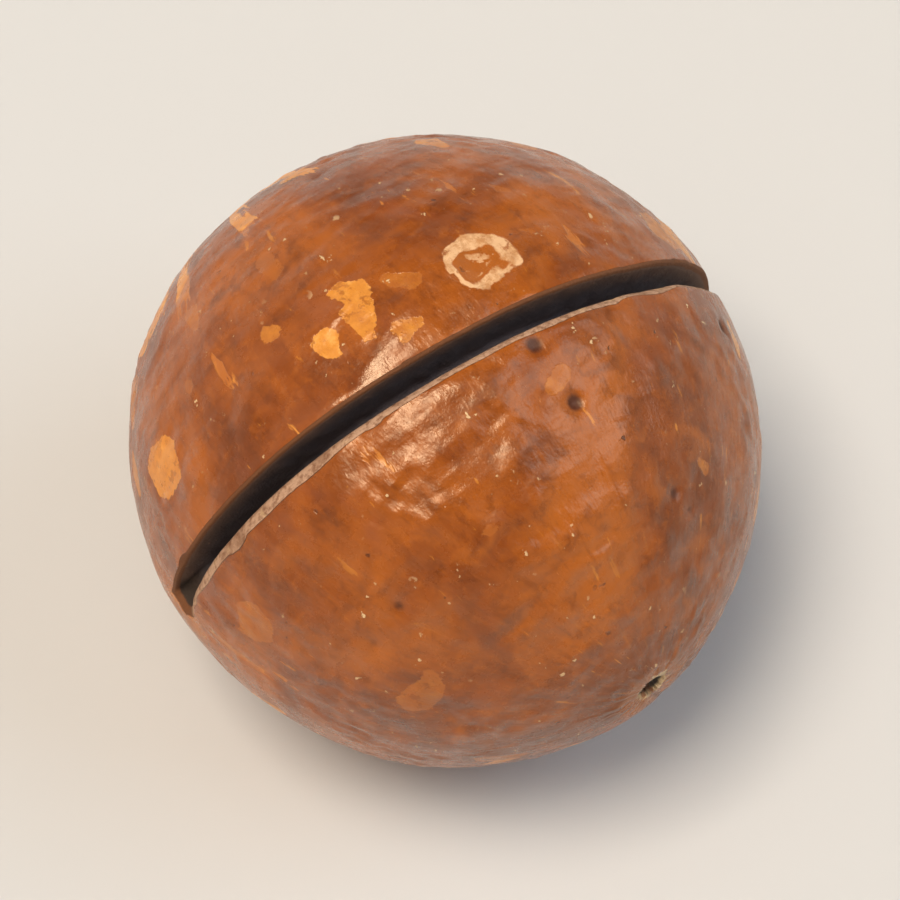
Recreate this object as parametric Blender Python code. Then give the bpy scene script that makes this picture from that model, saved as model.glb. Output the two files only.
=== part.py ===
"""A macadamia nut in its shell, with the sawn slot that lets a key crack it.

The nut lies on its side on a small flat spot. +X runs along the nut's own axis, from the
hilum, where it hung from the husk, to the pore at its slightly pointed end. +Z is up, and
the origin is the centre of the flat spot. Lengths are in metres.
"""
import math

import bmesh
import bpy
from mathutils import Matrix, Vector

# Driving dimensions
NUT_LENGTH = 0.0256          # hilum to pore, along X
NUT_WIDTH = 0.0250           # across, along Y
NUT_HEIGHT = 0.0248          # across, along Z, before the flat spot is taken off
PORE_TIP_RISE = 0.00030      # the pore end stands out a little
HILUM_DISH = 0.00022         # the hilum end is a little flat
REST_SPOT_RADIUS = 0.0024

SLOT_WIDTH = 0.00095         # saw kerf
SLOT_DEPTH = 0.0028
SLOT_BLADE_RADIUS = 0.014    # shapes the run-out at both ends
SLOT_OFFSET = 0.0005         # from the nut's middle, towards the pore
SLOT_YAW = math.radians(-6.6)        # the slot is a little off square to the axis
SLOT_TILT = math.radians(-8.7)
SLOT_START = math.radians(-126.0)    # measured round from the top, on the +Y side
SLOT_END = math.radians(90.0)        # on the -Y side

PORE_RADIUS = 0.00055
PORE_DEPTH = 0.0009

BODY_SUBDIVISIONS = 5        # 5120 faces before the cuts
PORE_SIDES = 16
ARC_STEP = math.radians(5.0)
OVERRUN = 0.0015             # how far cutters pass the surface

# Shallow lumps: (amplitude, waves along X, Y and Z, phase)
LUMPS = (
    (0.00010, (2.0, 1.2, 0.5), 0.4),
    (0.00008, (-0.8, 2.6, 1.4), 1.9),
    (0.00007, (1.1, -1.5, 2.9), 3.1),
    (0.00004, (3.9, 2.2, -2.4), 5.0),
)
TIP_SPREAD = math.radians(21.0)
DISH_SPREAD = math.radians(26.0)

SHELL_COLOUR = (0.270, 0.088, 0.028, 1.0)
SHELL_ROUGHNESS = 0.38


def clear_scene():
    for item in list(bpy.data.objects):
        bpy.data.objects.remove(item, do_unlink=True)


def new_collection(name):
    collection = bpy.data.collections.new(name)
    bpy.context.scene.collection.children.link(collection)
    return collection


def shell_material():
    material = bpy.data.materials.new("shell")
    material.use_nodes = True
    shader = material.node_tree.nodes["Principled BSDF"]
    shader.inputs["Base Color"].default_value = SHELL_COLOUR
    shader.inputs["Roughness"].default_value = SHELL_ROUGHNESS
    shader.inputs["Metallic"].default_value = 0.0
    return material


def nut_radius(direction):
    """Distance from the nut's middle to its skin along a unit direction."""
    x, y, z = direction
    ellipsoid = 1.0 / math.sqrt(
        (2 * x / NUT_LENGTH) ** 2 + (2 * y / NUT_WIDTH) ** 2 + (2 * z / NUT_HEIGHT) ** 2
    )
    from_pore = math.acos(max(-1.0, min(1.0, x)))
    from_hilum = math.pi - from_pore
    tip = PORE_TIP_RISE * math.exp(-((from_pore / TIP_SPREAD) ** 2))
    dish = HILUM_DISH * math.exp(-((from_hilum / DISH_SPREAD) ** 2))
    lumps = sum(
        size * math.sin(direction.dot(Vector(waves)) + phase) for size, waves, phase in LUMPS
    )
    return ellipsoid + tip - dish + lumps


def rest_height():
    """How far the nut's middle stands above its flat spot."""
    low = nut_radius(Vector((0, 0, -1)))
    return math.sqrt(low ** 2 - REST_SPOT_RADIUS ** 2)


def slot_frame():
    """Matrix whose Z is the slot's normal and whose X points at the slot's top."""
    normal = Vector((
        math.cos(SLOT_TILT) * math.cos(SLOT_YAW),
        math.cos(SLOT_TILT) * math.sin(SLOT_YAW),
        math.sin(SLOT_TILT),
    ))
    top = (Vector((0, 0, 1)) - normal * normal.z).normalized()
    side = normal.cross(top)
    turn = Matrix((top, side, normal)).transposed().to_4x4()
    return Matrix.Translation(normal * SLOT_OFFSET) @ turn


def arc(centre, radius, start, end):
    """Points on a circle's arc, both ends included."""
    steps = max(2, math.ceil(abs(end - start) / ARC_STEP))
    angles = [start + (end - start) * i / steps for i in range(steps + 1)]
    return [centre + radius * Vector((math.cos(a), math.sin(a))) for a in angles]


def run_out(floor_radius, outer_radius, slot_angle, inward):
    """The blade's arc from outside the nut down to the slot's floor, at one end.

    Returns its points and the angle at which it meets the floor.
    """
    reach = floor_radius + SLOT_BLADE_RADIUS
    cosine = (outer_radius ** 2 + reach ** 2 - SLOT_BLADE_RADIUS ** 2) / (2 * outer_radius * reach)
    meets_floor = slot_angle + inward * math.acos(cosine)
    centre = reach * Vector((math.cos(meets_floor), math.sin(meets_floor)))
    edge = outer_radius * Vector((math.cos(slot_angle), math.sin(slot_angle))) - centre
    start = math.atan2(edge.y, edge.x)
    bottom = math.atan2(-centre.y, -centre.x)
    turn = (bottom - start + math.pi) % (2 * math.pi) - math.pi
    return arc(centre, SLOT_BLADE_RADIUS, start, start + turn), meets_floor


def slot_outline():
    """The slot's flat outline: a thick arc whose floor runs out on the blade's curve."""
    skin = (NUT_WIDTH + NUT_HEIGHT) / 4
    floor = skin - SLOT_DEPTH
    entry, floor_start = run_out(floor, skin, SLOT_START, 1)
    leave, floor_end = run_out(floor, skin, SLOT_END, -1)
    origin = Vector((0, 0))
    outside = arc(origin, skin + OVERRUN, SLOT_END, SLOT_START)
    inside = arc(origin, floor, floor_start, floor_end)
    return entry[:-1] + inside + leave[-2::-1] + outside


def slot_cutter(collection):
    curve = bpy.data.curves.new("slot_outline", "CURVE")
    curve.dimensions = "2D"
    curve.fill_mode = "BOTH"
    curve.extrude = SLOT_WIDTH / 2
    points = slot_outline()
    spline = curve.splines.new("POLY")
    spline.points.add(len(points) - 1)
    for spline_point, point in zip(spline.points, points):
        spline_point.co = (point.x, point.y, 0.0, 1.0)
    spline.use_cyclic_u = True
    outline = bpy.data.objects.new("slot_outline", curve)
    collection.objects.link(outline)
    outline.matrix_world = slot_frame()
    return curve_to_mesh(outline, "slot_cutter", collection)


def curve_to_mesh(curve_object, name, collection):
    """A mesh object in a curve's place, its caps welded, with its faces outward."""
    bpy.context.view_layer.update()
    evaluated = curve_object.evaluated_get(bpy.context.evaluated_depsgraph_get())
    mesh = bpy.data.meshes.new_from_object(evaluated)
    solid = bmesh.new()
    solid.from_mesh(mesh)
    bmesh.ops.remove_doubles(solid, verts=solid.verts, dist=0.00001)
    bmesh.ops.recalc_face_normals(solid, faces=solid.faces)
    solid.to_mesh(mesh)
    solid.free()
    replacement = bpy.data.objects.new(name, mesh)
    replacement.matrix_world = curve_object.matrix_world.copy()
    collection.objects.link(replacement)
    bpy.data.objects.remove(curve_object)
    return replacement


def move_to(item, collection):
    for owner in list(item.users_collection):
        owner.objects.unlink(item)
    collection.objects.link(item)


def pore_cutter(collection):
    skin = nut_radius(Vector((1, 0, 0)))
    length = PORE_DEPTH + OVERRUN
    bpy.ops.mesh.primitive_cylinder_add(
        vertices=PORE_SIDES, radius=PORE_RADIUS, depth=length,
        location=(skin - PORE_DEPTH + length / 2, 0, 0), rotation=(0, math.pi / 2, 0),
    )
    cutter = bpy.context.object
    cutter.name = "pore_cutter"
    move_to(cutter, collection)
    return cutter


def rest_cutter(collection):
    """A block whose top face is the plane of the flat spot."""
    side = NUT_LENGTH
    bpy.ops.mesh.primitive_cube_add(size=side, location=(0, 0, -rest_height() - side / 2))
    cutter = bpy.context.object
    cutter.name = "rest_cutter"
    move_to(cutter, collection)
    return cutter


def nut_body(collection):
    bpy.ops.mesh.primitive_ico_sphere_add(subdivisions=BODY_SUBDIVISIONS, radius=1.0)
    nut = bpy.context.object
    nut.name = "macadamia_nut"
    nut.data.name = "macadamia_nut"
    for vertex in nut.data.vertices:
        direction = vertex.co.normalized()
        vertex.co = direction * nut_radius(direction)
    nut.data.materials.append(shell_material())
    move_to(nut, collection)
    return nut


def cut(body, cutter):
    cutter.hide_render = True
    cutter.display_type = "WIRE"
    modifier = body.modifiers.new(cutter.name, "BOOLEAN")
    modifier.operation = "DIFFERENCE"
    modifier.solver = "EXACT"
    modifier.object = cutter


def build():
    clear_scene()
    parts = new_collection("macadamia_nut_in_shell")
    cutters = new_collection("cutters")

    nut = nut_body(parts)
    nut.data.shade_smooth()
    nut.data.set_sharp_from_angle(angle=math.radians(40))
    tools = (rest_cutter(cutters), slot_cutter(cutters), pore_cutter(cutters))
    for tool in tools:
        cut(nut, tool)

    # The flat spot's centre is the origin, so the nut and its cutters move up together.
    lift = Matrix.Translation((0, 0, rest_height()))
    for item in (nut, *tools):
        item.matrix_world = lift @ item.matrix_world


build()
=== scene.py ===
"""The looks of a macadamia nut in its sawn shell.

One fine mesh stands for the CAD nut: a cube-sphere laid along the saw slot, with rows of faces
that go down one wall of the slot, over its floor and up the other. The skin's lumps, pits,
scars, pore and chipped rims are all in the mesh, and its colours and gloss are node materials.
"""
import math

import bpy
import numpy as np
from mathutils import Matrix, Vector


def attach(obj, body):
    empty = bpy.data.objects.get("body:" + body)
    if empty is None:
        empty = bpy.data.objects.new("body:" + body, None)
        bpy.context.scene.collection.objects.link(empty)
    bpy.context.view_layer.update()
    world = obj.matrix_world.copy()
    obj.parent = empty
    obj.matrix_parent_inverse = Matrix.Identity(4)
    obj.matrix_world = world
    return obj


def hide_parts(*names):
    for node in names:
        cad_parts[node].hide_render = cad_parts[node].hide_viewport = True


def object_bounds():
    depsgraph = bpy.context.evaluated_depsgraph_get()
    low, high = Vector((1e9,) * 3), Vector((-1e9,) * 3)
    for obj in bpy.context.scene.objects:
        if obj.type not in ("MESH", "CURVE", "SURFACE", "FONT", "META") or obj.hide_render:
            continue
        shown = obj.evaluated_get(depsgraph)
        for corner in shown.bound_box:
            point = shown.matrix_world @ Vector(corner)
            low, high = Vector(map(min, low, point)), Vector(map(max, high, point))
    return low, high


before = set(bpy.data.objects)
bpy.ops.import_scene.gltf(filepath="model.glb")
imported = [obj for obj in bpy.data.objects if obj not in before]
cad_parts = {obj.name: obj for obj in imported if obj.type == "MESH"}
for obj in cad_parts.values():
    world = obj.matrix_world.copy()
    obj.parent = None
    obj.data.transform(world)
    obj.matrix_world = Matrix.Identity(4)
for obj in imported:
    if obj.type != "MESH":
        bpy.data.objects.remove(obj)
cad_low, cad_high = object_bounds()

MM = 0.001

# The nut's shape, with the same figures as the CAD solid
NUT_LENGTH = 25.6 * MM
NUT_WIDTH = 25.0 * MM
NUT_HEIGHT = 24.8 * MM
PORE_TIP_RISE = 0.30 * MM
HILUM_DISH = 0.22 * MM
TIP_SPREAD = math.radians(21.0)
DISH_SPREAD = math.radians(26.0)
REST_SPOT_RADIUS = 2.4 * MM
LUMPS = (
    (0.10 * MM, (2.0, 1.2, 0.5), 0.4),
    (0.08 * MM, (-0.8, 2.6, 1.4), 1.9),
    (0.07 * MM, (1.1, -1.5, 2.9), 3.1),
    (0.04 * MM, (3.9, 2.2, -2.4), 5.0),
)
SLOT_WIDTH = 0.95 * MM
SLOT_DEPTH = 2.8 * MM
SLOT_BLADE_RADIUS = 14 * MM
SLOT_OFFSET = 0.5 * MM
SLOT_YAW = math.radians(-6.6)
SLOT_TILT = math.radians(-8.7)
SLOT_START = math.radians(-126.0)
SLOT_END = math.radians(90.0)
PORE_RADIUS = 0.55 * MM
PORE_DEPTH = 0.9 * MM
SKIN_MARGIN = 0.06 * MM      # keeps the skin's small bumps inside the CAD solid's box
REST_EDGE = 0.02 * MM        # softness of the flat spot's edge

# The mesh
FACE_STEPS = 124             # faces along each edge of the cube-sphere
PORE_SIDE_ROWS = 44
HILUM_SIDE_ROWS = 52
SHOULDER_ROWS = 5
WALL_ROWS = 7
FLOOR_ROWS = 4
SHOULDER_SPREAD = 0.12 * MM  # keeps the shoulder's rows apart where the slot has run out

MEAN_RADIUS = (NUT_LENGTH + NUT_WIDTH + NUT_HEIGHT) / 6
SKIN_RADIUS = (NUT_WIDTH + NUT_HEIGHT) / 4


# ---------------------------------------------------------------- shape


def unit(vectors):
    return vectors / np.linalg.norm(vectors, axis=-1, keepdims=True)


def smooth_step(low, high, value):
    t = np.clip((value - low) / (high - low), 0.0, 1.0)
    return t * t * (3 - 2 * t)


def nut_radius(directions):
    """Distance from the nut's middle to its plain skin along unit directions."""
    x, y, z = directions[..., 0], directions[..., 1], directions[..., 2]
    ellipsoid = 1.0 / np.sqrt(
        (2 * x / NUT_LENGTH) ** 2 + (2 * y / NUT_WIDTH) ** 2 + (2 * z / NUT_HEIGHT) ** 2
    )
    from_pore = np.arccos(np.clip(x, -1, 1))
    tip = PORE_TIP_RISE * np.exp(-((from_pore / TIP_SPREAD) ** 2))
    dish = HILUM_DISH * np.exp(-(((np.pi - from_pore) / DISH_SPREAD) ** 2))
    lumps = sum(
        size * np.sin(directions @ np.array(waves) + phase) for size, waves, phase in LUMPS
    )
    return ellipsoid + tip - dish + lumps


def rest_height():
    low = nut_radius(np.array([0.0, 0.0, -1.0]))
    return math.sqrt(low ** 2 - REST_SPOT_RADIUS ** 2)


def nut_direction(from_pore, round_top):
    """Unit direction at an angle from the pore and an angle round the nut's axis from its top.

    Both are in degrees, and the second grows towards +Y.
    """
    tilt, turn = np.radians(from_pore), np.radians(round_top)
    return np.stack(
        (np.cos(tilt), np.sin(tilt) * np.sin(turn), np.sin(tilt) * np.cos(turn)), axis=-1)


def arc_distance(directions, centre):
    """Distance over the skin, in metres, from a unit direction."""
    return MEAN_RADIUS * np.arccos(np.clip(directions @ centre, -1, 1))


def wave_field(points, wavelength, seed, count=40):
    """A smooth random field of about unit size, made of many plane waves."""
    random = np.random.default_rng(seed)
    headings = unit(random.normal(size=(count, 3)))
    lengths = wavelength * random.uniform(0.75, 1.35, count)
    phases = random.uniform(0, 2 * np.pi, count)
    total = np.zeros(points.shape[:-1])
    for heading, length, phase in zip(headings, lengths, phases):
        total += np.sin(points @ heading * (2 * np.pi / length) + phase)
    return total / math.sqrt(count / 2)


def ring_field(angles, seed, slowest, fastest, count=24):
    """A smooth random field round the slot, of about unit size."""
    random = np.random.default_rng(seed)
    rates = random.integers(slowest, fastest, count)
    phases = random.uniform(0, 2 * np.pi, count)
    total = np.zeros_like(angles)
    for rate, phase in zip(rates, phases):
        total += np.sin(angles * rate + phase)
    return total / math.sqrt(count / 2)


PAST_THE_END = 1.15          # how far round the floor's arc is followed out of the nut

# The slot's own axes: its normal, its top and the side (-Y) that its angles turn towards
SLOT_NORMAL = np.array([
    math.cos(SLOT_TILT) * math.cos(SLOT_YAW),
    math.cos(SLOT_TILT) * math.sin(SLOT_YAW),
    math.sin(SLOT_TILT),
])
SLOT_TOP = unit(np.array([0.0, 0.0, 1.0]) - SLOT_NORMAL * SLOT_NORMAL[2])
SLOT_SIDE = np.cross(SLOT_NORMAL, SLOT_TOP)


def slot_radial(angles):
    return np.cos(angles)[..., None] * SLOT_TOP + np.sin(angles)[..., None] * SLOT_SIDE


def skin_at(angles, lateral):
    """Radius in the slot's plane of the plain skin, at a distance off the nut's middle."""
    radial = SKIN_RADIUS
    for _ in range(4):
        point = radial * slot_radial(angles).T + lateral * SLOT_NORMAL[:, None]
        size = np.linalg.norm(point, axis=0)
        radial = np.sqrt(nut_radius((point / size).T) ** 2 - lateral ** 2)
    return radial


def blade_floor(angles):
    """Radius of the slot's floor: concentric with the nut, run out on the blade's arc."""
    floor = SKIN_RADIUS - SLOT_DEPTH
    reach = floor + SLOT_BLADE_RADIUS
    cosine = (SKIN_RADIUS ** 2 + reach ** 2 - SLOT_BLADE_RADIUS ** 2) / (2 * SKIN_RADIUS * reach)
    run_out = math.acos(cosine)
    past = np.maximum(SLOT_START + run_out - angles, angles - (SLOT_END - run_out))
    past = np.clip(past, 0.0, run_out * PAST_THE_END)
    return reach * np.cos(past) - np.sqrt(SLOT_BLADE_RADIUS ** 2 - (reach * np.sin(past)) ** 2)


def rim_chips(angles, chips):
    """Extra chamfer width from a few chips: (angle in degrees, half length, width) each."""
    extra = np.zeros_like(angles)
    for place, half_length, width in chips:
        off = (angles - math.radians(place)) * SKIN_RADIUS / half_length
        extra = np.maximum(extra, width * np.clip(1 - off ** 2, 0, 1) ** 0.7)
    return extra


LIP_WIDTH = 0.27 * MM        # worn edge on the pore's side
LIP_SPREAD = 0.22 * MM
EDGE_WIDTH = 0.08 * MM       # worn edge on the hilum's side
EDGE_FALL = 0.24 * MM        # the most that a worn edge falls

# Chips in the two rims: where round the slot in degrees, half length and width
PORE_RIM_CHIPS = (
    (-104, 0.4 * MM, 0.08 * MM), (-70, 0.5 * MM, 0.10 * MM), (-28, 0.3 * MM, 0.07 * MM),
    (22, 0.35 * MM, 0.08 * MM), (57, 0.7 * MM, 0.16 * MM), (80, 0.4 * MM, 0.12 * MM),
)
HILUM_RIM_CHIPS = (
    (-99, 0.4 * MM, 0.07 * MM), (-52, 0.4 * MM, 0.08 * MM), (12, 0.3 * MM, 0.07 * MM),
    (74, 0.6 * MM, 0.14 * MM),
)


def pore_lip(angles):
    """The pore side's lip: it widens on the -Y side, where the blade went in."""
    return LIP_WIDTH + LIP_SPREAD * np.exp(-(((angles - math.radians(54)) / math.radians(32)) ** 2))


def chamfer_width(angles, depth, plain, seed, chips):
    """Width of the worn edge between skin and wall, at each angle round the slot."""
    slow = ring_field(angles, seed, 5, 30) * 0.14 * plain
    rough = ring_field(angles, seed + 100, 60, 200) * 0.0035 * MM
    width = np.clip(plain + slow + rough, 0.4 * plain, None) + rim_chips(angles, chips)
    return width * smooth_step(0.0, 0.5 * MM, depth)


class SlotRows:
    """Rows of points that run round the nut at, on and inside the slot.

    lateral is each point's distance from the nut's middle along the slot's normal, drop is how
    far it lies below the plain skin, and cut is 1 on sawn faces and 0 past the slot's ends.
    """

    def __init__(self, angles):
        self.angles = angles
        self.skin = skin_at(angles, np.full_like(angles, SLOT_OFFSET))
        self.depth = np.clip(self.skin - blade_floor(angles), 0.0, None)
        self.pore_chamfer = chamfer_width(angles, self.depth, pore_lip(angles), 11, PORE_RIM_CHIPS)
        self.hilum_chamfer = chamfer_width(angles, self.depth, EDGE_WIDTH, 12, HILUM_RIM_CHIPS)
        self.wall_lean = 0.05 + 0.80 * np.exp(-((self.depth / (0.3 * MM)) ** 2))
        self.wander = ring_field(angles, 13, 3, 9) * 0.018 * MM

    def rows(self):
        """(lateral, drop, cut) for each row, from the pore's side to the hilum's side."""
        half = SLOT_WIDTH / 2
        sawn = smooth_step(0.0, 0.10 * MM, self.depth)
        listed = []
        for side, chamfer in ((1, self.pore_chamfer), (-1, self.hilum_chamfer)):
            shoulder = []
            for q in np.linspace(0, 1, SHOULDER_ROWS):
                lateral = half + np.maximum(chamfer, SHOULDER_SPREAD) * (1 - q)
                fall = np.minimum(np.minimum(chamfer * 0.85, EDGE_FALL), 0.5 * self.depth)
                drop = fall * q ** 1.4
                shoulder.append((lateral, drop, sawn * (q > 0)))
            edge_drop = shoulder[-1][1]
            for q in np.linspace(0, 1, WALL_ROWS + 1)[1:]:
                lateral = half * (1 - self.wall_lean * q)
                drop = edge_drop + (self.depth - edge_drop) * q
                shoulder.append((lateral, drop, sawn))
            middle = SLOT_OFFSET + self.wander
            listed.append([(middle + side * a, drop, cut) for a, drop, cut in shoulder])
        pore_side, hilum_side = listed
        floor = []
        for q in np.linspace(0, 1, FLOOR_ROWS + 1)[1:-1]:
            lateral = pore_side[-1][0] * (1 - q) + hilum_side[-1][0] * q
            floor.append((lateral, self.depth, sawn))
        return pore_side + floor + hilum_side[::-1]


class NutMesh:
    """Points, faces and masks of the cube-sphere with the slot let into its equator."""

    def __init__(self):
        self.points = []      # plain positions about the nut's middle
        self.drops = []       # depth below the skin, for cut surfaces
        self.cuts = []        # 1 on the chamfer, walls and floor
        self.depths = []      # the slot's depth beside them
        self.total = 0
        self.faces = []
        self.build()

    def add(self, points, drops=0.0, cuts=0.0, depths=0.0):
        start = self.total
        self.points.append(points)
        for listed, values in ((self.drops, drops), (self.cuts, cuts), (self.depths, depths)):
            listed.append(np.broadcast_to(values, len(points)))
        self.total += len(points)
        return np.arange(start, self.total)

    def ring_rows(self, angles, limit, rows, side, shoulder_lateral):
        """Rings on the plain skin from the cap's edge to the slot's shoulder."""
        skin = skin_at(angles, shoulder_lateral)
        at_slot = np.arctan2(shoulder_lateral, skin)
        rings = []
        for t in np.linspace(0, 1, rows + 1)[:-1]:
            latitude = side * limit * (1 - t) + at_slot * t
            directions = (
                np.cos(latitude)[:, None] * slot_radial(angles)
                + np.sin(latitude)[:, None] * SLOT_NORMAL
            )
            rings.append(self.add(directions * nut_radius(directions)[:, None]))
        return rings

    def cap(self, ring, side):
        """The cap's own inner points and its faces, sewn to the first or last ring."""
        n = FACE_STEPS
        grid = np.empty((n + 1, n + 1), int)
        steps = np.tan(np.linspace(-np.pi / 4, np.pi / 4, n + 1))
        u, v = np.meshgrid(steps[1:-1], steps[1:-1], indexing="ij")
        directions = unit(
            u[..., None] * SLOT_TOP + v[..., None] * SLOT_SIDE + side * SLOT_NORMAL)
        flat = directions.reshape(-1, 3)
        inner = self.add(flat * nut_radius(flat)[:, None])
        grid[1:-1, 1:-1] = inner.reshape(n - 1, n - 1)
        grid[n, :] = ring[0:n + 1]
        grid[::-1, n] = ring[n:2 * n + 1]
        grid[0, ::-1] = ring[2 * n:3 * n + 1]
        grid[:, 0] = np.append(ring[3 * n:4 * n], ring[0])
        corners = [grid[:-1, :-1], grid[1:, :-1], grid[1:, 1:], grid[:-1, 1:]]
        quads = np.stack(corners, axis=-1).reshape(-1, 4)
        self.faces.append(quads if side > 0 else quads[:, ::-1])

    def build(self):
        n = FACE_STEPS
        columns = np.arange(4 * n)
        angles = (columns / n) * (np.pi / 2) - np.pi / 4
        angles = (angles + np.pi) % (2 * np.pi) - np.pi
        in_face = (columns % n) / n * (np.pi / 2) - np.pi / 4
        limit = np.arctan(np.cos(in_face))
        slot = SlotRows(angles)
        slot_rows = slot.rows()
        rings = self.ring_rows(angles, limit, PORE_SIDE_ROWS, 1, slot_rows[0][0])
        for lateral, drop, cut in slot_rows:
            radial = skin_at(angles, lateral) - drop
            points = radial[:, None] * slot_radial(angles) + lateral[:, None] * SLOT_NORMAL
            rings.append(self.add(points, drop, cut, slot.depth))
        below = self.ring_rows(angles, limit, HILUM_SIDE_ROWS, -1, slot_rows[-1][0])
        rings += below[::-1]
        for upper, lower in zip(rings[:-1], rings[1:]):
            quads = np.stack((upper, lower, np.roll(lower, -1), np.roll(upper, -1)), axis=-1)
            self.faces.append(quads)
        self.cap(rings[0], 1)
        self.cap(rings[-1], -1)
        self.points = np.concatenate(self.points)
        self.drops = np.concatenate(self.drops)
        self.cuts = np.concatenate(self.cuts)
        self.depths = np.concatenate(self.depths)
        self.faces = np.concatenate(self.faces)


# ---------------------------------------------------------------- marks on the skin

PORE = np.array([1.0, 0.0, 0.0])
HILUM = np.array([-1.0, 0.0, 0.0])
RING_SCAR = nut_direction(90.5, 8)
DARK_PIT = nut_direction(61, 8)

# Flecks: degrees from the pore, degrees round from the top, length, width, turn from the
# meridian in degrees, and tone from dull brown 0 to bright tan 1
TOP_FLECKS = (
    (100, -12, 2.1 * MM, 1.25 * MM, 45, 0.90),
    (94, -14, 2.5 * MM, 1.05 * MM, -14, 0.80),
    (95, -21, 1.5 * MM, 1.35 * MM, 30, 0.95),
    (105, -27, 1.2 * MM, 1.0 * MM, 45, 0.55),
    (96, -4, 2.0 * MM, 0.60 * MM, 48, 0.46),
    (88, -9, 1.5 * MM, 0.90 * MM, 60, 0.65),
    (107, -63, 2.3 * MM, 3.2 * MM, 0, 0.80),
    (75, -71, 1.9 * MM, 2.5 * MM, 20, 0.40),
    (44, -67, 2.4 * MM, 1.5 * MM, 70, 0.36),
    # this faint fleck stands for a small bright reflection beside the dark pit: a painted highlight
    (66, 7, 0.6 * MM, 1.6 * MM, 20, 0.44),
    (118, -20, 2.2 * MM, 0.6 * MM, -8, 0.25),
    (124, -40, 2.0 * MM, 0.8 * MM, 5, 0.40),
    (103, 24, 1.3 * MM, 0.38 * MM, 30, 0.30),
    (92, 21, 0.9 * MM, 0.45 * MM, 60, 0.32),
    (42, 37, 0.8 * MM, 0.30 * MM, 60, 0.45),
    (86, -56, 0.9 * MM, 0.55 * MM, 20, 0.30),
    (53, -22, 0.7 * MM, 0.45 * MM, 70, 0.26),
    (112, -47, 0.9 * MM, 0.50 * MM, 0, 0.30),
)


SCATTERED_FLECKS = 92
SCATTERED_PITS = 46


def scattered_flecks():
    """Flecks over the sides, the underside and the hilum's half, where they crowd."""
    random = np.random.default_rng(27)
    top = nut_direction(68, -18)
    flecks = []
    while len(flecks) < SCATTERED_FLECKS:
        direction = unit(random.normal(size=3))
        from_pore = math.degrees(math.acos(direction[0]))
        round_top = math.degrees(math.atan2(direction[1], direction[2]))
        keep = random.uniform() < 0.25 + 0.75 * (from_pore / 180) ** 1.3
        size = random.uniform(0.9, 3.3) * MM
        width = size * random.uniform(0.28, 0.66)
        turn = random.normal() * 18
        tone = random.uniform(0.35, 1.0)
        if keep and 16 < from_pore < 168 and direction @ top < 0.34:
            flecks.append((from_pore, round_top, size, width, turn, tone))
    return flecks


def fleck_outline(a, b, length, width, random):
    """Signed distance to a rough polygon about as long and as wide as given."""
    sides = random.integers(5, 8)
    turns = (np.arange(sides) + random.uniform(-0.34, 0.34, sides)) * 2 * np.pi / sides
    gap = np.full_like(a, -1.0)
    for turn in turns + random.uniform(0, np.pi):
        reach = math.hypot(length / 2 * math.cos(turn), width / 2 * math.sin(turn))
        reach *= random.uniform(0.72, 1.02)
        gap = np.maximum(gap, a * math.cos(turn) + b * math.sin(turn) - reach)
    return gap


def fleck_fields(directions):
    """Signed distance to the nearest fleck's outline, and that fleck's tone."""
    random = np.random.default_rng(8)
    nearest = np.full(len(directions), 3.0 * MM)
    tone = np.full(len(directions), 0.5)
    every_fleck = TOP_FLECKS + tuple(scattered_flecks())
    for from_pore, round_top, length, width, turn, shade in every_fleck:
        centre = nut_direction(from_pore, round_top)
        along = unit(np.cross(np.cross(centre, HILUM), centre))
        across = np.cross(centre, along)
        spin = math.radians(turn)
        main = math.cos(spin) * along + math.sin(spin) * across
        side = math.cos(spin) * across - math.sin(spin) * along
        a = directions @ main * MEAN_RADIUS
        b = directions @ side * MEAN_RADIUS
        gap = fleck_outline(a, b, length, width, random)
        gap[directions @ centre < 0.5] = 3.0 * MM
        closer = gap < nearest
        nearest[closer] = gap[closer]
        tone[closer] = shade
    return nearest, tone


def pit_list():
    """Small pits: direction, radius and depth."""
    random = np.random.default_rng(5)
    pits = [
        (DARK_PIT, 0.46 * MM, 0.28 * MM),
        (nut_direction(73, 7), 0.50 * MM, 0.14 * MM),
        (nut_direction(67, 60), 0.38 * MM, 0.18 * MM),
        (nut_direction(39, 24), 0.34 * MM, 0.12 * MM),
        (nut_direction(35, 30), 0.26 * MM, 0.10 * MM),
    ]
    for _ in range(SCATTERED_PITS):
        centre = unit(random.normal(size=3))
        radius = random.uniform(0.16, 0.36) * MM
        fall = radius * random.uniform(0.10, 0.36)
        if centre @ DARK_PIT < 0.985:
            pits.append((centre, radius, fall))
    return pits


def pit_field(directions):
    """Depth that the pits take off, and a mask of their dark middles."""
    depth = np.zeros(len(directions))
    dark = np.zeros(len(directions))
    for centre, radius, fall in pit_list():
        off = arc_distance(directions, centre) / radius
        shape = np.exp(-(off ** 2) * 1.6)
        depth += fall * shape
        dark = np.maximum(dark, shape * min(1.0, fall / (0.16 * MM)))
    return depth, dark


def pore_field(directions, points):
    """Height change at the pore: a ragged hole in a shallow dish with a raised collar."""
    off = arc_distance(directions, PORE)
    bend = wave_field(points, 1.2 * MM, 31)
    ragged = off * (1 + 0.17 * bend + 0.06 * wave_field(points, 0.7 * MM, 32))
    hole = -PORE_DEPTH * (1 - smooth_step(0.74 * PORE_RADIUS, 1.1 * PORE_RADIUS, ragged))
    collar = 0.05 * MM * np.exp(-(((off * (1 + 0.10 * bend) - 1.45 * MM) / (0.38 * MM)) ** 2))
    dish = -0.10 * MM * np.exp(-((off / (1.1 * MM)) ** 2))
    rings = 0.02 * MM * np.sin(off / (0.36 * MM) * np.pi) * np.exp(-((off / (2.6 * MM)) ** 2))
    return hole + collar + dish + rings


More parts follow.
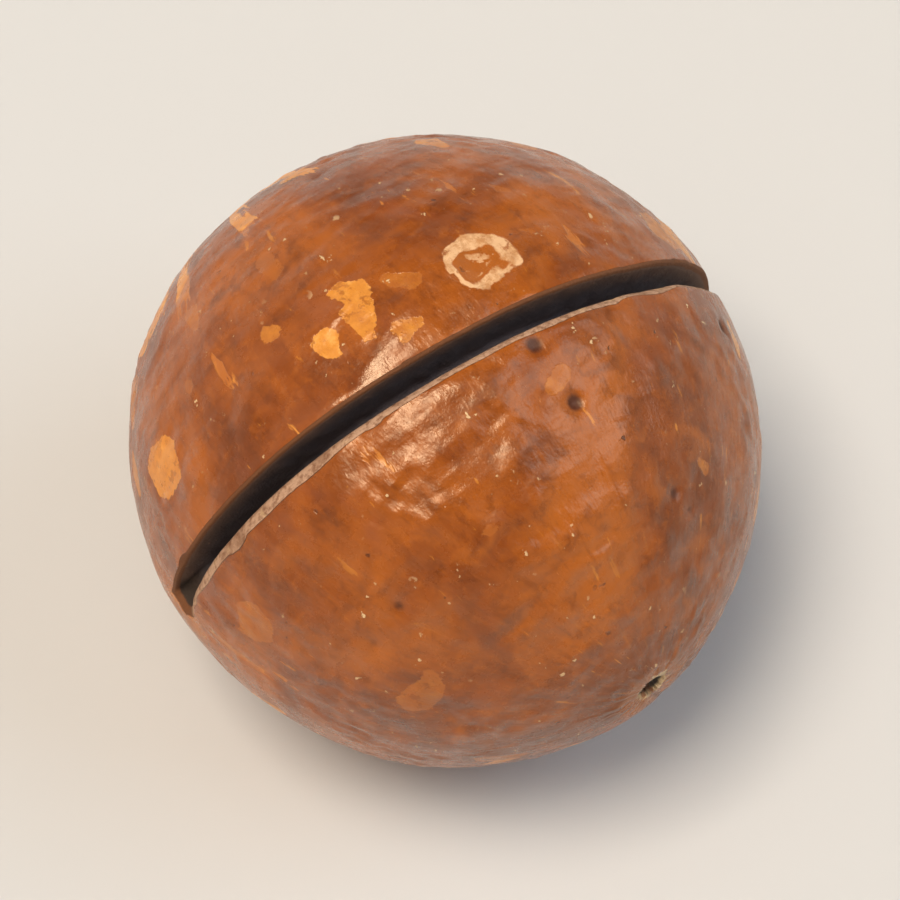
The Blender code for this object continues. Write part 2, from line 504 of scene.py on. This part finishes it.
def hilum_field(directions, points):
    """Height change at the hilum: a rough, slightly sunken scar with a low lip."""
    off = arc_distance(directions, HILUM) * (1 + 0.08 * wave_field(points, 2.2 * MM, 41))
    inside = 1 - smooth_step(2.2 * MM, 2.9 * MM, off)
    rough = 0.05 * wave_field(points, 0.8 * MM, 42) + 0.04 * wave_field(points, 0.45 * MM, 43)
    lip = 0.05 * MM * np.exp(-(((off - 3.0 * MM) / (0.4 * MM)) ** 2))
    return inside * (rough - 0.12) * MM + lip


def ring_scar_field(directions, points):
    """Height change at the ringed scar beside the slot."""
    off = arc_distance(directions, RING_SCAR) * (1 + 0.14 * wave_field(points, 1.4 * MM, 51))
    ring = 0.045 * MM * np.exp(-(((off - 1.1 * MM) / (0.26 * MM)) ** 2))
    middle = -0.06 * MM * np.exp(-((off / (0.6 * MM)) ** 2))
    return ring + middle


SEAM_ROUND = math.radians(150)       # the seam's place round the nut's axis, from its top


def seam_distance(directions):
    """Signed distance from the faint seam, which runs from pore to hilum underneath."""
    sideways = np.array([0.0, math.cos(SEAM_ROUND), -math.sin(SEAM_ROUND)])
    outward = np.array([0.0, math.sin(SEAM_ROUND), math.cos(SEAM_ROUND)])
    bend = 0.35 * MM * np.sin(directions[..., 0] * 5.0)
    distance = directions @ sideways * MEAN_RADIUS + bend
    return np.where(directions @ outward > 0, distance, 10 * MM)


def relief(directions, points):
    """Everything that stands off or is sunk in the plain skin, in metres."""
    swell = 0.034 * wave_field(points, 6.5 * MM, 1) + 0.014 * wave_field(points, 2.6 * MM, 2)
    patchy = 0.35 + 1.3 * smooth_step(-0.6, 1.4, wave_field(points, 5.0 * MM, 6))
    grain = 0.0105 * wave_field(points, 1.15 * MM, 3) + 0.0075 * wave_field(points, 0.62 * MM, 4)
    pits, _ = pit_field(directions)
    seam = -0.05 * MM * np.exp(-((seam_distance(directions) / (0.22 * MM)) ** 2))
    return (
        (swell + grain * patchy) * MM - pits + seam - SKIN_MARGIN
        + pore_field(directions, points)
        + hilum_field(directions, points)
        + ring_scar_field(directions, points)
    )


def settled(z):
    """Heights with what is under the rest plane flattened into the flat spot, soft at its edge."""
    soft = (z + REST_EDGE) ** 2 / (4 * REST_EDGE)
    return np.where(np.abs(z) < REST_EDGE, soft, np.maximum(z, 0.0))


def nut_object():
    shape = NutMesh()
    directions = unit(shape.points)
    skin_points = directions * nut_radius(directions)[:, None]
    inside = smooth_step(0.35 * MM, 0.9 * MM, shape.drops)
    rough_cut = inside * 0.025 * MM * wave_field(shape.points, 0.9 * MM, 61)
    positions = shape.points + directions * relief(directions, skin_points)[:, None]
    positions += SLOT_NORMAL * rough_cut[:, None]
    positions[:, 2] = settled(positions[:, 2] + rest_height())

    mesh = bpy.data.meshes.new("nut_skin")
    mesh.from_pydata(positions.tolist(), [], shape.faces.tolist())
    mesh.validate()
    mesh.shade_smooth()
    store_masks(mesh, shape, directions, skin_points)
    nut = bpy.data.objects.new("nut_in_shell", mesh)
    bpy.context.scene.collection.objects.link(nut)
    return nut


def store_masks(mesh, shape, directions, skin_points):
    """Masks and distances, in millimetres, that the material reads."""
    fleck, tone = fleck_fields(directions)
    _, pit_dark = pit_field(directions)
    fields = {
        "cut": shape.cuts,
        "cut_drop": shape.drops / MM,
        "slot_depth": shape.depths / MM,
        "pore_side": (shape.points @ SLOT_NORMAL - SLOT_OFFSET) / MM,
        "fleck": fleck / MM,
        "fleck_tone": tone,
        "pit": pit_dark,
        "from_pore": arc_distance(directions, PORE) / MM,
        "pore_fall": -pore_field(directions, skin_points) / MM,
        "from_hilum": arc_distance(directions, HILUM) / MM,
        "from_ring": arc_distance(directions, RING_SCAR) / MM,
        "from_seam": seam_distance(directions) / MM,
    }
    for name, values in fields.items():
        mesh.attributes.new(name, "FLOAT", "POINT").data.foreach_set(
            "value", values.astype(np.float32))
    mesh.attributes.new("nut_direction", "FLOAT_VECTOR", "POINT").data.foreach_set(
        "vector", directions.astype(np.float32).ravel())


# ---------------------------------------------------------------- materials


class Graph:
    """Short calls for building one material's nodes."""

    def __init__(self, name):
        self.material = bpy.data.materials.new(name)
        self.material.use_nodes = True
        self.tree = self.material.node_tree
        self.shader = self.tree.nodes["Principled BSDF"]

    def put(self, socket, value):
        if isinstance(value, bpy.types.NodeSocket):
            self.tree.links.new(value, socket)
        else:
            socket.default_value = value

    def node(self, kind, output=0, settings=(), **inputs):
        item = self.tree.nodes.new("ShaderNode" + kind)
        for key, value in dict(settings).items():
            setattr(item, key, value)
        for key, value in inputs.items():
            self.put(item.inputs[key.replace("_", " ")], value)
        return item.outputs[output]

    def attribute(self, name, output="Fac"):
        return self.node("Attribute", output, {"attribute_name": name})

    def math(self, operation, a, b=0.0, c=0.0):
        item = self.tree.nodes.new("ShaderNodeMath")
        item.operation = operation
        for socket, value in zip(item.inputs, (a, b, c)):
            self.put(socket, value)
        return item.outputs[0]

    def vector_math(self, operation, a, b=(0.0, 0.0, 0.0)):
        item = self.tree.nodes.new("ShaderNodeVectorMath")
        item.operation = operation
        self.put(item.inputs[0], a)
        self.put(item.inputs[1], b)
        return item.outputs[0]

    def scaled(self, vector, factor):
        return self.vector_math("MULTIPLY", vector, (factor, factor, factor))

    def wobble(self, vector, scale, amount, detail=3.0, roughness=0.5):
        """Noise about zero; amount is the width of its whole range."""
        field = self.noise(vector, scale, detail, roughness)
        return self.math("MULTIPLY_ADD", field, amount, -amount / 2)

    def add(self, *values):
        total = values[0]
        for value in values[1:]:
            total = self.math("ADD", total, value)
        return total

    def times(self, *values):
        total = values[0]
        for value in values[1:]:
            total = self.math("MULTIPLY", total, value)
        return total

    def noise(self, vector, scale, detail=3.0, roughness=0.5, distortion=0.0):
        return self.node(
            "TexNoise", 0, Vector=vector, Scale=scale, Detail=detail,
            Roughness=roughness, Distortion=distortion)

    def span(self, value, low, high, to_low=0.0, to_high=1.0, smooth=True):
        """Value mapped from low..high to to_low..to_high, clamped."""
        item = self.tree.nodes.new("ShaderNodeMapRange")
        item.interpolation_type = "SMOOTHSTEP" if smooth else "LINEAR"
        for name, number in (("Value", value), ("From Min", low), ("From Max", high),
                             ("To Min", to_low), ("To Max", to_high)):
            self.put(item.inputs[name], number)
        return item.outputs[0]

    def mix(self, factor, a, b, blend="MIX"):
        item = self.tree.nodes.new("ShaderNodeMix")
        item.data_type = "RGBA"
        item.blend_type = blend
        self.put(item.inputs["Factor"], factor)
        self.put(item.inputs["A"], a)
        self.put(item.inputs["B"], b)
        return item.outputs["Result"]


def colour(red, green, blue):
    """A colour given as 0..255 screen values, as the linear values that nodes use."""
    return tuple(((c / 255 + 0.055) / 1.055) ** 2.4 for c in (red, green, blue)) + (1.0,)


CHOCOLATE = colour(97, 43, 14)
BROWN = colour(141, 69, 22)
ORANGE_BROWN = colour(180, 96, 28)
MAUVE_BROWN = colour(146, 80, 52)
FLECK_DULL = colour(184, 104, 40)
FLECK_BRIGHT = colour(228, 148, 58)
FLECK_YELLOW = colour(252, 190, 104)
CREAM = colour(226, 190, 142)
SCAR = colour(236, 188, 140)
SCAR_DULL = colour(200, 142, 92)
# pale broken-skin colour; on the slot's pore-side edge it is partly a painted highlight
CUT_EDGE = colour(192, 152, 124)
CUT_RIM = colour(112, 66, 38)
CUT_WALL = colour(112, 84, 70)
# painted shade: the bluer grey that the slot's walls turn deeper down
CUT_DEEP_SHADE = colour(92, 84, 90)
# near-black: the slot where it is shallow, at its run-out ends, and painted shade in the pore's
# hole
CUT_FLOOR = colour(44, 34, 32)
PIT_DARK = colour(66, 22, 10)


SKIN_MM = 12.5               # the nut's radius, in the millimetres that the materials use


def skin_coordinates(g):
    """Object space in millimetres, and two sets drawn out along and across the meridians."""
    place = g.scaled(g.node("TexCoord", "Object"), 1 / MM)
    parts = g.tree.nodes.new("ShaderNodeSeparateXYZ")
    g.put(parts.inputs[0], g.attribute("nut_direction", "Vector"))
    flat = g.node("CombineXYZ", 0, X=0.0, Y=parts.outputs[1], Z=parts.outputs[2])
    circle = g.scaled(g.vector_math("NORMALIZE", flat), SKIN_MM)
    along = g.math("MULTIPLY", g.math("ARCCOSINE", parts.outputs[0]), SKIN_MM)

    def drawn(round_scale, along_scale):
        shift = g.node("CombineXYZ", 0, X=g.math("MULTIPLY", along, along_scale), Y=0.0, Z=0.0)
        return g.vector_math("ADD", g.scaled(circle, round_scale), shift)

    return place, drawn(1.0, 0.30), drawn(0.40, 1.0)


def ground_colour(g, place, streak, band):
    """The shell's own browns, mottled at every scale, without flecks."""
    broad = g.noise(place, 0.13, 3.0, 0.55, 0.6)
    mottle = g.noise(place, 0.50, 5.0, 0.62, 0.6)
    medium = g.noise(place, 1.35, 4.0, 0.62, 0.5)
    streaks = g.noise(streak, 0.9, 5.0, 0.6, 0.5)
    fine = g.noise(streak, 3.4, 4.0, 0.68)
    bands = g.noise(band, 0.85, 4.0, 0.55, 0.4)
    base = g.mix(g.span(broad, 0.42, 0.64, 0.0, 0.75), BROWN, ORANGE_BROWN)
    base = g.mix(g.span(broad, 0.48, 0.32, 0.0, 0.65), base, CHOCOLATE)
    for field, low, high, strength in (
        (mottle, 0.48, 0.30, 0.55), (streaks, 0.45, 0.28, 0.30), (medium, 0.46, 0.30, 0.36),
        (bands, 0.46, 0.30, 0.34), (fine, 0.46, 0.28, 0.24),
    ):
        base = g.mix(g.span(field, low, high, 0.0, strength), base, CHOCOLATE)
        base = g.mix(g.span(field, 1 - low, 1 - high, 0.0, strength * 0.95), base, ORANGE_BROWN)
    bloom = g.noise(place, 0.20, 4.0, 0.6, 0.8)
    return g.mix(g.span(bloom, 0.52, 0.70, 0.0, 0.40), base, MAUVE_BROWN)


def add_flecks(g, skin, place, streak):
    """Tan flecks: the stored ones, patches that crowd at the hilum, and short dashes."""
    ragged = g.add(
        g.attribute("fleck"), g.wobble(streak, 1.0, 0.55, 2.0),
        g.wobble(place, 5.0, 0.28, 3.0, 0.6))
    tone = g.attribute("fleck_tone")
    strength = g.span(tone, 0.2, 0.8, 0.38, 0.96, False)
    worn = g.span(g.noise(place, 2.6, 4.0, 0.6), 0.34, 0.44, 0.45, 1.0)
    stored = g.times(g.span(ragged, 0.02, -0.03), strength, worn)
    near_hilum = g.span(g.attribute("from_hilum"), 15.0, 3.0, 0.0, 0.16)
    patch_noise = g.add(g.noise(streak, 0.42, 5.0, 0.58, 0.3), near_hilum)
    patch = g.times(g.span(patch_noise, 0.668, 0.684), worn)
    fleck = g.math("MAXIMUM", stored, patch)
    inner = g.add(g.wobble(place, 1.7, 1.3, 5.0, 0.65), tone)
    tan = g.mix(g.span(inner, 0.25, 1.05), FLECK_DULL, FLECK_BRIGHT)
    tan = g.mix(g.span(inner, 0.92, 1.30, 0.0, 0.8), tan, FLECK_YELLOW)
    skin = g.mix(fleck, skin, tan)

    dash = g.noise(streak, 1.7, 4.0, 0.55, 0.3)
    faint = g.span(g.noise(place, 0.38, 2.0), 0.40, 0.66, 0.06, 0.55)
    dashes = g.times(g.span(dash, 0.664, 0.684), faint)
    return g.mix(dashes, skin, FLECK_BRIGHT), fleck


def add_specks(g, skin, place):
    """Small pale specks, partly real specks and partly painted glints, and fewer dark pinholes,
    both ragged and mostly faint.
    """
    shifted = g.vector_math("ADD", place, (4.7, 1.3, 8.1))
    # Pale specks: partly real specks, partly painted glints.
    pale = g.span(g.noise(place, 2.1, 3.0, 0.55), 0.688, 0.712)
    pale = g.times(pale, g.span(g.noise(shifted, 0.5, 2.0), 0.40, 0.64, 0.12, 0.95))
    skin = g.mix(pale, skin, CREAM)
    dark = g.span(g.noise(shifted, 1.5, 2.0, 0.5), 0.268, 0.235)
    dark = g.times(dark, g.span(g.noise(place, 0.45, 2.0), 0.42, 0.62, 0.25, 0.85))
    return g.mix(dark, skin, PIT_DARK), pale, dark


def add_scars(g, skin, place):
    """Pits, the ringed scar, the hilum, the pore and the seam; also the distance from the hilum."""
    skin = g.mix(g.span(g.attribute("pit"), 0.22, 0.70, 0.0, 0.92), skin, PIT_DARK)

    from_ring = g.attribute("from_ring")
    ring_off = g.add(
        from_ring, g.wobble(place, 0.55, 1.7, 1.0), g.wobble(place, 2.6, 0.36, 4.0, 0.6))
    thickness = g.span(g.noise(place, 0.75, 1.0), 0.38, 0.62, 0.13, 0.38)
    ring = g.math("SUBTRACT", g.math("ABSOLUTE", g.math("SUBTRACT", ring_off, 1.15)), thickness)
    gaps = g.span(g.noise(place, 2.2, 3.0, 0.6), 0.33, 0.42, 0.2, 1.0)
    ring = g.times(g.span(ring, 0.04, -0.05), gaps)
    core = g.times(g.span(ring_off, 0.60, 0.45), g.span(g.noise(place, 1.5, 3.0, 0.6), 0.48, 0.54))
    dull = g.times(g.span(ring_off, 1.2, 1.0), 0.55)
    skin = g.mix(dull, skin, FLECK_DULL)
    scar = g.mix(g.span(g.noise(place, 1.8, 5.0, 0.7), 0.36, 0.60), SCAR_DULL, SCAR)
    skin = g.mix(g.math("MAXIMUM", ring, g.times(core, 0.7)), skin, scar)

    hilum_off = g.add(
        g.attribute("from_hilum"), g.wobble(place, 0.7, 1.8, 3.0, 0.5),
        g.wobble(place, 4.0, 0.45, 4.0, 0.65))
    cork = g.mix(g.span(g.noise(place, 1.9, 5.0, 0.7), 0.36, 0.64), CHOCOLATE, MAUVE_BROWN)
    cork = g.mix(g.span(g.noise(place, 3.4, 4.0, 0.7), 0.56, 0.66, 0.0, 0.7), cork, CUT_EDGE)
    cork = g.mix(g.span(hilum_off, 1.0, 0.4, 0.0, 0.7), cork, PIT_DARK)
    broken = g.span(g.noise(place, 1.5, 3.0), 0.40, 0.56, 0.0, 0.7)
    skin = g.mix(g.times(g.span(hilum_off, 3.1, 2.85), broken), skin, CUT_EDGE)
    skin = g.mix(g.span(hilum_off, 2.80, 2.66, 0.0, 0.92), skin, cork)

    pore_off = g.add(g.attribute("from_pore"), g.wobble(place, 1.3, 1.4, 4.0, 0.6))
    skin = g.mix(g.span(pore_off, 1.9, 1.2, 0.0, 0.45), skin, FLECK_DULL)
    chipped = g.span(g.noise(place, 1.6, 3.0), 0.44, 0.52, 0.12, 1.0)
    skin = g.mix(g.times(g.span(pore_off, 0.92, 0.76), chipped), skin, CREAM)
    # The pore's hole is painted near-black by its depth: painted shade.
    hole = g.add(g.attribute("pore_fall"), g.wobble(place, 2.4, 0.16))
    skin = g.mix(g.span(hole, 0.16, 0.30), skin, CUT_FLOOR)

    seam = g.span(g.math("ABSOLUTE", g.attribute("from_seam")), 0.26, 0.05, 0.0, 0.6)
    return g.mix(seam, skin, CHOCOLATE), hilum_off


def cut_colour(g, place):
    """The slot: pale edge towards the pore, partly worn skin and partly painted highlight on the
    bevel; brown towards the hilum; inside, painted shade that turns bluer grey with depth, and
    near-black where the slot is shallow.
    """
    drop = g.attribute("cut_drop")
    shallow = g.span(g.attribute("slot_depth"), 1.6, 0.6)
    # Painted shade: the walls turn bluer grey with depth. Where the slot is shallow, at its ends,
    # they are near-black.
    wall = g.mix(g.span(drop, 0.20, 1.6), CUT_WALL, CUT_DEEP_SHADE)
    wall = g.mix(shallow, wall, CUT_FLOOR)
    dust = g.span(g.noise(place, 3.0, 4.0, 0.7), 0.62, 0.72, 0.0, 0.6)
    dust = g.times(dust, g.span(drop, 2.2, 0.2), g.math("SUBTRACT", 1.0, shallow))
    wall = g.mix(dust, wall, CUT_EDGE)
    edge = g.mix(g.span(g.noise(place, 3.6, 5.0, 0.72), 0.34, 0.56, 0.25, 1.0), CUT_RIM, CUT_EDGE)
    edge = g.mix(g.span(g.noise(place, 0.7, 4.0, 0.6), 0.48, 0.36, 0.0, 0.45), edge, CUT_RIM)
    edge = g.mix(g.span(g.noise(place, 0.8, 4.0, 0.6), 0.56, 0.68, 0.0, 0.6), edge, CREAM)
    # Only the pore's side is pale: partly the worn skin's own colour, partly painted light where
    # the bevel catches the lamp.
    worn_and_lit_side = g.times(
        g.span(g.attribute("pore_side"), 0.0, 0.2), g.span(g.attribute("slot_depth"), 0.3, 0.9))
    edge = g.mix(worn_and_lit_side, CUT_RIM, edge)
    below_edge = g.span(g.add(drop, g.wobble(place, 2.4, 0.10, 4.0, 0.6)), 0.21, 0.30)
    return g.mix(below_edge, edge, wall)


def shell_material():
    g = Graph("macadamia_shell")
    place, streak, band = skin_coordinates(g)
    skin = ground_colour(g, place, streak, band)
    skin, fleck = add_flecks(g, skin, place, streak)
    skin, pale_speck_and_glint, pinhole = add_specks(g, skin, place)
    skin, hilum_off = add_scars(g, skin, place)
    in_cut = g.span(g.attribute("cut"), 0.05, 0.35)
    g.put(g.shader.inputs["Base Color"], g.mix(in_cut, skin, cut_colour(g, place)))

    gloss = g.span(g.noise(place, 0.9, 5.0, 0.65), 0.35, 0.70, 0.21, 0.36)
    in_hilum = g.span(hilum_off, 2.85, 2.55)
    in_pit = g.span(g.attribute("pit"), 0.2, 0.7, 0.0, 0.20)
    gloss = g.add(gloss, in_pit, g.times(fleck, 0.05), g.times(in_hilum, 0.30))
    g.put(g.shader.inputs["Roughness"], g.math("MAXIMUM", gloss, g.times(in_cut, 0.85)))
    g.shader.inputs["IOR"].default_value = 1.65
    g.shader.inputs["Specular Tint"].default_value = (1.0, 0.80, 0.58, 1.0)

    # Height in millimetres: ripples across the meridians, streaks, peel, flecks, specks, cork
    ripple_area = g.span(g.noise(place, 0.22, 2.0), 0.38, 0.60, 0.45, 1.0)
    ripple = g.times(g.noise(band, 0.72, 1.5, 0.5, 0.2), ripple_area)
    drawn_out = g.times(
        g.add(g.times(ripple, 0.42), g.times(g.noise(streak, 2.6, 4.0, 0.6), 0.026)),
        g.span(hilum_off, 2.4, 3.4, 0.15, 1.0))
    skin_height = g.add(
        drawn_out, g.times(g.noise(place, 4.5, 4.0, 0.6), 0.022), g.times(fleck, -0.012),
        g.times(pale_speck_and_glint, 0.02), g.times(pinhole, -0.05),
        g.times(g.noise(place, 2.4, 5.0, 0.7), in_hilum, 0.22))
    cut_height = g.times(g.noise(place, 6.0, 4.0, 0.65), 0.06)
    height = g.add(
        g.times(skin_height, g.math("SUBTRACT", 1.0, in_cut)), g.times(cut_height, in_cut))
    g.put(g.shader.inputs["Normal"], g.node("Bump", 0, Height=height, Strength=1.0, Distance=MM))
    return g.material


# ---------------------------------------------------------------- studio

CAMERA_AZIMUTH = 52.0
CAMERA_ELEVATION = 62.0
LENS = 135.0
SENSOR = 36.0
NUT_SHARE = 0.70             # of the picture's height


def bearing(azimuth, elevation):
    """Unit vector from the nut; azimuth 0 is the -Y side, and it grows towards +X."""
    turn, rise = math.radians(azimuth), math.radians(elevation)
    level = math.cos(rise)
    return Vector((math.sin(turn) * level, -math.cos(turn) * level, math.sin(rise)))


def aim(item, target, away, distance):
    item.location = target + away * distance
    item.rotation_euler = (-away).to_track_quat("-Z", "Y").to_euler()


def nut_centre():
    return (cad_low + cad_high) / 2


def add_camera():
    data = bpy.data.cameras.new("camera")
    data.lens = LENS
    data.sensor_width = SENSOR
    camera = bpy.data.objects.new("camera", data)
    bpy.context.scene.collection.objects.link(camera)
    height = NUT_WIDTH / NUT_SHARE
    distance = height * LENS / SENSOR
    aim(camera, nut_centre(), bearing(CAMERA_AZIMUTH, CAMERA_ELEVATION), distance)
    data.clip_start = 0.005
    data.clip_end = 20.0
    bpy.context.scene.camera = camera


def area_light(name, azimuth, elevation, distance, width, height, power, tint):
    """A soft panel that faces the nut. Azimuth is measured from the camera's."""
    data = bpy.data.lights.new(name, "AREA")
    data.shape = "RECTANGLE"
    data.size = width
    data.size_y = height
    data.energy = power
    data.color = tint
    light = bpy.data.objects.new(name, data)
    bpy.context.scene.collection.objects.link(light)
    aim(light, nut_centre(), bearing(CAMERA_AZIMUTH + azimuth, elevation), distance)


def add_lights():
    area_light("key", -56, 74, 1.6, 0.62, 0.62, 21.0, (1.0, 0.88, 0.74))
    area_light("sheen", -56, 74, 1.7, 1.50, 1.50, 7.5, (1.0, 0.89, 0.74))
    area_light("window", 90, 46, 1.6, 1.05, 0.95, 8.2, (0.66, 0.83, 1.0))
    area_light("fill", -120, 30, 1.5, 1.20, 1.00, 0.7, (1.0, 0.93, 0.86))
    world = bpy.data.worlds.new("studio")
    world.use_nodes = True
    background = world.node_tree.nodes["Background"]
    background.inputs["Color"].default_value = (0.90, 0.92, 0.96, 1.0)
    background.inputs["Strength"].default_value = 0.08
    bpy.context.scene.world = world


FLOOR_RINGS = (0.05, 0.3, 0.7)
FLOOR_RADIUS = 1.1
COVE_RADIUS = 0.7
WALL_TOP = 1.2
BACKDROP_SIDES = 96


def backdrop_profile():
    """(radius, height) pairs: flat floor, then a cove that turns up into a low wall."""
    cove = [
        (FLOOR_RADIUS + COVE_RADIUS * math.sin(a), COVE_RADIUS * (1 - math.cos(a)))
        for a in np.linspace(0, math.pi / 2, 13)
    ]
    return [(r, 0.0) for r in FLOOR_RINGS] + cove + [(FLOOR_RADIUS + COVE_RADIUS, WALL_TOP)]


def add_backdrop():
    """A pale round floor whose edge curves up, so that no horizon shows from any side."""
    g = Graph("pale_floor")
    g.put(g.shader.inputs["Base Color"], (0.64, 0.638, 0.632, 1.0))
    g.put(g.shader.inputs["Roughness"], 0.8)
    points, faces = [(0.0, 0.0, 0.0)], []
    turns = [2 * math.pi * i / BACKDROP_SIDES for i in range(BACKDROP_SIDES)]
    for radius, height in backdrop_profile():
        start = len(points)
        points += [(radius * math.cos(t), radius * math.sin(t), height) for t in turns]
        for i in range(BACKDROP_SIDES):
            j = (i + 1) % BACKDROP_SIDES
            if start == 1:
                faces.append((0, start + i, start + j))
            else:
                last = start - BACKDROP_SIDES
                faces.append((last + i, start + i, start + j, last + j))
    mesh = bpy.data.meshes.new("backdrop")
    mesh.from_pydata(points, [], faces)
    mesh.shade_smooth()
    mesh.materials.append(g.material)
    backdrop = bpy.data.objects.new("backdrop", mesh)
    bpy.context.scene.collection.objects.link(backdrop)


add_camera()
add_backdrop()
add_lights()
bpy.context.scene.view_settings.view_transform = "Standard"

nut = nut_object()
nut.data.materials.append(shell_material())
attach(nut, "root")
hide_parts("macadamia_nut")
